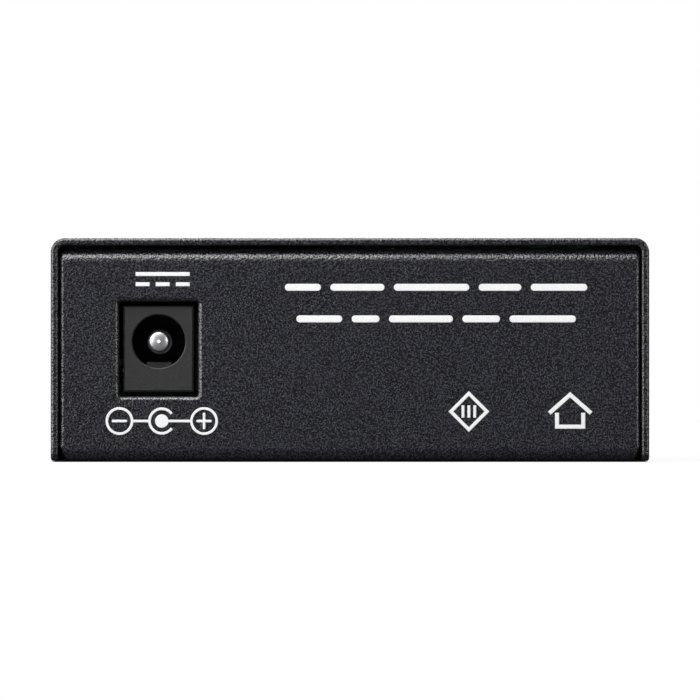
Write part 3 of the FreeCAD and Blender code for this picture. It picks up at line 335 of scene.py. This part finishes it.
finishes = {
    "textured_black_coat": coated_steel("textured_black_coat", (0.0018, 0.0018, 0.0025), 0.25),
    "black_plated_screw": plated_metal("black_plated_screw", (0.05, 0.05, 0.055), 0.38),
    "zinc_plated_steel": plated_metal("zinc_plated_steel", (0.62, 0.62, 0.6), 0.32),
    "board_laminate": solder_masked_board("board_laminate"),
    "black_moulding": moulded_plastic("black_moulding", (0.005, 0.005, 0.0051), 0.5,
                                      size=0.25 * MM, relief=0.05 * MM, mottle=5.0),
    "chip_moulding": moulded_plastic("chip_moulding", (0.02, 0.02, 0.021), 0.6),
    "polished_pin": plated_metal("polished_pin", (0.9, 0.9, 0.92), 0.35, relief=0.0006 * MM),
    # painted shade: the spring gets a near-black colour, far darker than nickel, for the shade inside
    # the jack's bore
    "nickel_spring": plated_metal("nickel_spring", (0.01, 0.01, 0.01), 0.4),
    "tinned_metal": plated_metal("tinned_metal", (0.66, 0.66, 0.67), 0.3),
    "gold_contact": plated_metal("gold_contact", (0.83, 0.6, 0.22), 0.25),
    "ceramic_sleeve": moulded_plastic("ceramic_sleeve", (0.78, 0.77, 0.73), 0.25, relief=0.001 * MM),
    "lamp_lens": lamp_epoxy("lamp_lens"),
    "ferrite": moulded_plastic("ferrite", (0.05, 0.05, 0.05), 0.55),
    "enamelled_copper": plated_metal("enamelled_copper", (0.55, 0.2, 0.08), 0.3),
    "capacitor_sleeve": moulded_plastic("capacitor_sleeve", (0.012, 0.02, 0.06), 0.3,
                                        relief=0.002 * MM),
    "fuse_body": moulded_plastic("fuse_body", (0.03, 0.12, 0.05), 0.45),
    "ceramic_chip": moulded_plastic("ceramic_chip", (0.1, 0.08, 0.06), 0.5),
    "white_print": screen_print("white_print"),
}
slot_of_node = {part["node"]: part["material_slot"] for part in frame["record"]["subparts"]}


# ================================================================ mesh helpers
def build_smoother():
    """Modifier group that joins a node's loose triangles and shades its round faces smooth."""
    group = bpy.data.node_groups.new("smooth round faces", "GeometryNodeTree")
    group.interface.new_socket("Geometry", in_out="INPUT", socket_type="NodeSocketGeometry")
    group.interface.new_socket("Geometry", in_out="OUTPUT", socket_type="NodeSocketGeometry")
    source = group.nodes.new("NodeGroupInput")
    result = group.nodes.new("NodeGroupOutput")
    merge = group.nodes.new("GeometryNodeMergeByDistance")
    feed(group, merge, Geometry=source.outputs[0], Distance=MERGE_DISTANCE)
    faces = group.nodes.new("GeometryNodeSetShadeSmooth")
    feed(group, faces, Geometry=merge.outputs[0])
    angle = group.nodes.new("GeometryNodeInputMeshEdgeAngle")
    sharp = add_node(group, "FunctionNodeCompare", data_type="FLOAT", operation="GREATER_THAN")
    connect(group, angle.outputs["Unsigned Angle"], sharp.inputs[0])
    connect(group, SMOOTH_ANGLE, sharp.inputs[1])
    edges = add_node(group, "GeometryNodeSetShadeSmooth", domain="EDGE")
    feed(group, edges, Geometry=faces.outputs[0], Selection=sharp.outputs["Result"],
         Shade_Smooth=False)
    connect(group, edges.outputs[0], result.inputs[0])
    return group


smoother = build_smoother()


def finish_node(name):
    """Give a node its finish, and shade its round faces smooth and its flat ones flat."""
    node = frame["nodes"][name]
    node.data.materials.clear()
    node.data.materials.append(finishes[slot_of_node[name]])
    shade = node.modifiers.new("smooth round faces", "NODES")
    shade.node_group = smoother
    weight = node.modifiers.new("flat faces stay flat", "WEIGHTED_NORMAL")
    weight.keep_sharp = True


def link_object(name, data):
    """A new object in the scene."""
    thing = bpy.data.objects.new(name, data)
    bpy.context.scene.collection.objects.link(thing)
    return thing


def link_mesh(name, bm, material):
    """A new mesh object in the scene, made from a bmesh, with its material."""
    mesh = bpy.data.meshes.new(name)
    bm.to_mesh(mesh)
    bm.free()
    mesh.materials.append(material)
    return link_object(name, mesh)


def add_piece(name, bm, slot):
    """Make a finished piece from a bmesh and let it ride on the case."""
    piece = link_mesh(name, bm, finishes[slot])
    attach(piece, BODY)


# ================================================================ print on the end panel
def on_panel(bm, place):
    """Stand a flat drawing, made in the XY plane, on the end panel and give it its thickness."""
    upright = Matrix.Rotation(QUARTER_TURN, 3, "X")
    bmesh.ops.rotate(bm, verts=bm.verts, cent=(0, 0, 0), matrix=upright)
    across, up = place
    bmesh.ops.translate(bm, verts=bm.verts, vec=(across, panel_face_y, up))
    raised = bmesh.ops.extrude_face_region(bm, geom=list(bm.faces))
    lifted = [item for item in raised["geom"] if isinstance(item, bmesh.types.BMVert)]
    bmesh.ops.translate(bm, verts=lifted, vec=(0, -PRINT_THICKNESS, 0))
    bmesh.ops.recalc_face_normals(bm, faces=bm.faces)


def draw_arc(bm, centre, radius, width, start=0.0, sweep=FULL_TURN):
    """A flat curved stroke, spun from its end."""
    middle = Vector((*centre, 0))
    outward = Vector((math.cos(start), math.sin(start), 0))
    inner = bm.verts.new(middle + (radius - width / 2) * outward)
    outer = bm.verts.new(middle + (radius + width / 2) * outward)
    edge = bm.edges.new((inner, outer))
    bmesh.ops.spin(bm, geom=[inner, outer, edge], cent=middle, axis=(0, 0, 1), angle=sweep,
                   steps=ARC_STEPS, use_merge=math.isclose(sweep, FULL_TURN))


def draw_bar(bm, centre, length, width, angle=0.0, round_ends=True):
    """A flat straight stroke, with round or square ends."""
    segments = BAR_END_SEGMENTS if round_ends else 4
    radius = width / 2 if round_ends else width / math.sqrt(2)
    turn = Matrix.Rotation(math.pi / segments, 4, "Z")
    dot = bmesh.ops.create_circle(bm, cap_ends=True, radius=radius, segments=segments, matrix=turn)
    ends = dot["verts"]
    stretch = max(length - width, 0) / 2
    for side in (-1, 1):
        half = [vert for vert in ends if side * vert.co.x > 0]
        bmesh.ops.translate(bm, verts=half, vec=(side * stretch, 0, 0))
    place = Matrix.Translation((*centre, 0)) @ Matrix.Rotation(angle, 4, "Z")
    bmesh.ops.transform(bm, matrix=place, verts=ends)


def draw_stroke(bm, points, width, closed=False):
    """A flat stroke along straight runs, with mitred corners and square ends."""
    count = len(points)
    corners = [Vector(point) for point in points]
    sides = []
    for index, corner in enumerate(corners):
        runs = []
        if closed or index > 0:
            runs.append((corner - corners[index - 1]).normalized())
        if closed or index < count - 1:
            runs.append((corners[(index + 1) % count] - corner).normalized())
        normals = [Vector((-run.y, run.x)) for run in runs]
        middle = sum(normals, Vector((0, 0))).normalized()
        reach = width / 2 / middle.dot(normals[0])
        sides.append([bm.verts.new((*(corner + side * reach * middle), 0)) for side in (-1, 1)])
    for index in range(count if closed else count - 1):
        (a, b), (c, d) = sides[index], sides[(index + 1) % count]
        bm.faces.new((a, c, d, b))


def print_polarity_symbol():
    """The plug's polarity: centre dot to plus, outer ring to minus."""
    bm = bmesh.new()
    reach = 5.16 * MM
    ring = 1.54 * MM
    sleeve = 1.5 * MM
    dot = 0.82 * MM
    gap = math.radians(36)
    draw_arc(bm, (-reach, 0), ring, PRINT_STROKE)
    draw_arc(bm, (reach, 0), ring, PRINT_STROKE)
    draw_arc(bm, (0, 0), sleeve, PRINT_STROKE, gap, FULL_TURN - 2 * gap)
    bmesh.ops.create_circle(bm, cap_ends=True, radius=dot, segments=DOT_SEGMENTS)
    sign = 1.9 * MM
    overhang = 0.1 * MM
    draw_bar(bm, (-reach, 0), sign, PRINT_STROKE)
    draw_bar(bm, (reach, 0), sign, PRINT_STROKE)
    arm = (sign + overhang - PRINT_STROKE) / 2
    arm_width = PRINT_STROKE * 0.98
    for side in (-1, 1):
        arm_middle = (reach, side * (PRINT_STROKE + arm) / 2)
        draw_bar(bm, arm_middle, arm, arm_width, QUARTER_TURN, round_ends=False)
    left = (-reach + ring + PRINT_STROKE / 2, -sleeve - PRINT_STROKE / 2)
    right = (dot, reach - ring - PRINT_STROKE / 2)
    for start, end in (left, right):
        draw_bar(bm, ((start + end) / 2, 0), end - start, PRINT_STROKE, round_ends=False)
    on_panel(bm, POLARITY_PLACE)
    add_piece("polarity_symbol", bm, "white_print")


def print_direct_current_sign():
    """A solid bar over three dashes, above the jack."""
    bm = bmesh.new()
    length = 6.6 * MM
    thick = 0.48 * MM
    dash = 1.7 * MM
    rise = 0.62 * MM
    draw_bar(bm, (0, rise), length, thick, round_ends=False)
    for index in (-1, 0, 1):
        draw_bar(bm, (index * (length - dash) / 2, -rise), dash, thick, round_ends=False)
    on_panel(bm, DIRECT_CURRENT_PLACE)
    add_piece("direct_current_sign", bm, "white_print")


def print_rule_lines():
    """Two lines of short bars where a statement would be printed."""
    bm = bmesh.new()
    thick = 0.86 * MM
    space = 1.15 * MM
    upper = [4.4 * MM, 6.6 * MM, 9.2 * MM, 5.2 * MM, 6.9 * MM]
    lower = [5.6 * MM, 3.4 * MM, 7.8 * MM, 4.6 * MM, 8.1 * MM]
    for height, lengths in ((2.0 * MM, upper), (-1.85 * MM, lower)):
        start = -(sum(lengths) + space * (len(lengths) - 1)) / 2
        for length in lengths:
            draw_bar(bm, (start + length / 2, height), length, thick)
            start += length + space
    on_panel(bm, RULES_PLACE)
    add_piece("rule_lines", bm, "white_print")


def print_diamond_sign():
    """A plain diamond with three bars in it."""
    bm = bmesh.new()
    stroke = 0.42 * MM
    half = 2.2 * MM
    bar_space = 0.72 * MM
    bar_length = 1.5 * MM
    bar_width = stroke * 0.85
    draw_stroke(bm, [(half, 0), (0, half), (-half, 0), (0, -half)], stroke, closed=True)
    for index in (-1, 0, 1):
        draw_bar(bm, (index * bar_space, 0), bar_length, bar_width, QUARTER_TURN, round_ends=False)
    on_panel(bm, DIAMOND_PLACE)
    add_piece("diamond_sign", bm, "white_print")


def print_house_sign():
    """A plain house, its walls under a roof."""
    bm = bmesh.new()
    stroke = 0.5 * MM
    eaves, eaves_height = 2.55 * MM, -0.2 * MM
    ridge_height = 2.05 * MM
    wall, wall_top, wall_foot = 1.6 * MM, -0.15 * MM, -1.85 * MM
    draw_stroke(bm, [(-eaves, eaves_height), (0, ridge_height), (eaves, eaves_height)], stroke)
    walls = [(-wall, wall_top), (-wall, wall_foot), (wall, wall_foot), (wall, wall_top)]
    draw_stroke(bm, walls, stroke)
    on_panel(bm, HOUSE_PLACE)
    add_piece("house_sign", bm, "white_print")


# ================================================================ stage, lights and camera
def floor_whiteness(tree):
    """The floor's own white: none under the case, FLOOR_WHITE beside it, full further off."""
    place = object_place(tree)
    parts = add_node(tree, "ShaderNodeSeparateXYZ")
    tree.links.new(place, parts.inputs[0])
    beyond = []
    for axis, half in (("X", case_high.x), ("Y", case_high.y)):
        distance = math_node(tree, "ABSOLUTE", parts.outputs[axis], 0.0)
        beyond.append(math_node(tree, "GREATER_THAN", distance, half))
    outside = math_node(tree, "MAXIMUM", *beyond)
    away = add_node(tree, "ShaderNodeVectorMath", operation="LENGTH")
    tree.links.new(place, away.inputs[0])
    fade = add_node(tree, "ShaderNodeMapRange", interpolation_type="SMOOTHSTEP")
    near, far = FLOOR_FADE
    feed(tree, fade, Value=away.outputs["Value"], From_Min=near, From_Max=far,
         To_Min=FLOOR_WHITE, To_Max=1.0)
    return math_node(tree, "MULTIPLY", outside, fade.outputs["Result"])


def make_stage():
    """A plain pale floor that keeps the object's shadow."""
    bm = bmesh.new()
    bmesh.ops.create_grid(bm, x_segments=1, y_segments=1, size=FLOOR_REACH)
    material, tree, shader = new_material("pale_floor", FLOOR_COLOR, 0.9, specular=0.0)
    rays = add_node(tree, "ShaderNodeLightPath")
    white = math_node(tree, "MULTIPLY", rays.outputs["Is Camera Ray"], floor_whiteness(tree))
    feed(tree, shader, Emission_Color=(*WHITE, 1), Emission_Strength=white)
    link_mesh("floor", bm, material)


def make_world():
    """White to the camera and through clear plastic, a dim room to everything else."""
    world = bpy.data.worlds.new("studio")
    bpy.context.scene.world = world
    world.use_nodes = True
    tree = world.node_tree
    tree.nodes.clear()
    rays = add_node(tree, "ShaderNodeLightPath")
    seen = math_node(tree, "MAXIMUM", rays.outputs["Is Camera Ray"], rays.outputs["Is Transmission Ray"])
    mix = add_node(tree, "ShaderNodeMixShader")
    tree.links.new(seen, mix.inputs[0])
    for socket, color, strength in ((mix.inputs[1], ROOM_COLOR, ROOM_GLOW), (mix.inputs[2], WHITE, 1.0)):
        background = add_node(tree, "ShaderNodeBackground")
        feed(tree, background, Color=(*color, 1), Strength=strength)
        tree.links.new(background.outputs[0], socket)
    output = add_node(tree, "ShaderNodeOutputWorld")
    feed(tree, output, Surface=mix.outputs[0])


def add_softbox(name, azimuth, elevation, distance, size, power):
    """An area lamp aimed at the case; azimuth 0 is the power end and grows towards +X."""
    lamp = bpy.data.lights.new(name, "AREA")
    lamp.shape = "RECTANGLE"
    lamp.size, lamp.size_y = size
    lamp.energy = power
    turn = math.radians(azimuth)
    rise = math.radians(elevation)
    level = math.cos(rise)
    outward = Vector((math.sin(turn) * level, -math.cos(turn) * level, math.sin(rise)))
    box = link_object(name, lamp)
    box.location = case_middle + distance * outward
    box.rotation_euler = (-outward).to_track_quat("-Z", "Y").to_euler()
    box.visible_camera = False


def make_camera():
    """In front of the power end, a little below the case's middle and aimed at it."""
    lens = bpy.data.cameras.new("camera")
    lens.lens = LENS_LENGTH
    lens.sensor_width = SENSOR_WIDTH
    lens.clip_start = NEAREST
    lens.clip_end = FARTHEST
    view_width = (case_high.x - case_low.x) / CASE_SHARE
    distance = LENS_LENGTH / SENSOR_WIDTH * view_width
    camera = link_object("camera", lens)
    camera.location = (case_middle.x, case_low.y - distance, case_middle.z - CAMERA_DROP)
    camera.rotation_euler = (QUARTER_TURN + math.atan(CAMERA_DROP / distance), 0, 0)
    bpy.context.scene.camera = camera


# ================================================================ the dressed converter
for node_name in frame["nodes"]:
    finish_node(node_name)

print_polarity_symbol()
print_direct_current_sign()
print_rule_lines()
print_diamond_sign()
print_house_sign()

make_stage()
make_world()
for lamp_values in LAMPS:
    add_softbox(*lamp_values)
make_camera()
bpy.context.scene.view_settings.view_transform = "Standard"
